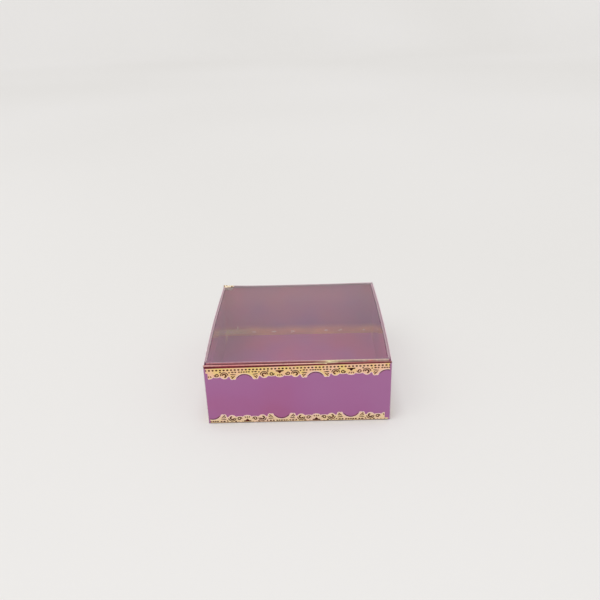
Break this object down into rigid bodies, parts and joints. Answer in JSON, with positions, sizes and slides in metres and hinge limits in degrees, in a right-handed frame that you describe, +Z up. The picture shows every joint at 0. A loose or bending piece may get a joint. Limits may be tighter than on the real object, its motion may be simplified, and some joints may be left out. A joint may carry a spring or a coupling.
{
  "type": "plastic gift box",
  "caption": "Square folded plastic sweets box: purple printed tray with gold lace borders and a clear hinged tuck-in lid.",
  "frame": {"origin": "centre of the underside, on the surface that the box stands on", "axes": "+Z up through the lid, -Y out of the front wall, +Y out of the back wall that carries the lid's crease, +X to the right"},
  "size_m": [0.102, 0.102, 0.0386],
  "materials": {
    "printed_sheet": "clear plastic sheet printed purple on its outer side",
    "clear_sheet": "clear glossy plastic sheet",
    "wine_sheet": "clear plastic sheet printed wine red",
    "gold_foil": "hot-stamped gold foil",
    "glue": "dried clear glue"
  },
  "bodies": {
    "tray": {"floor_panel": "printed_sheet", "front_wall": "printed_sheet", "back_wall": "printed_sheet", "left_wall": "printed_sheet", "right_wall": "printed_sheet", "glue_tab_front_left": "printed_sheet", "glue_tab_front_right": "printed_sheet", "glue_tab_back_left": "printed_sheet", "glue_tab_back_right": "printed_sheet", "glue_strip_front_left": "glue", "glue_strip_front_right": "glue", "glue_strip_back_left": "glue", "glue_strip_back_right": "glue", "lace_front_upper": "gold_foil", "lace_front_lower": "gold_foil", "lace_back_upper": "gold_foil", "lace_back_lower": "gold_foil", "lace_left_upper": "gold_foil", "lace_left_lower": "gold_foil", "lace_right_upper": "gold_foil", "lace_right_lower": "gold_foil"},
    "lid": {"lid_window": "clear_sheet"},
    "front_flap": {"tuck_flap": "wine_sheet"},
    "left_lip": {"lid_lip_left": "clear_sheet"},
    "right_lip": {"lid_lip_right": "clear_sheet"}
  },
  "joints": [
    {"name": "lid_hinge", "type": "hinge", "parent": "tray", "child": "lid", "pos_m": [0, 0.0508, 0.03835], "axis": [-1, 0, 0], "range_deg": [0, 200]},
    {"name": "tuck_flap_fold", "type": "hinge", "parent": "lid", "child": "front_flap", "pos_m": [0, -0.0495, 0.03775], "axis": [1, 0, 0], "range_deg": [0, 40]},
    {"name": "lip_fold_left", "type": "hinge", "parent": "lid", "child": "left_lip", "pos_m": [-0.04985, 0, 0.03775], "axis": [0, -1, 0], "range_deg": [0, 80]},
    {"name": "lip_fold_right", "type": "hinge", "parent": "lid", "child": "right_lip", "pos_m": [0.04985, 0, 0.03775], "axis": [0, 1, 0], "range_deg": [0, 80]}
  ]
}
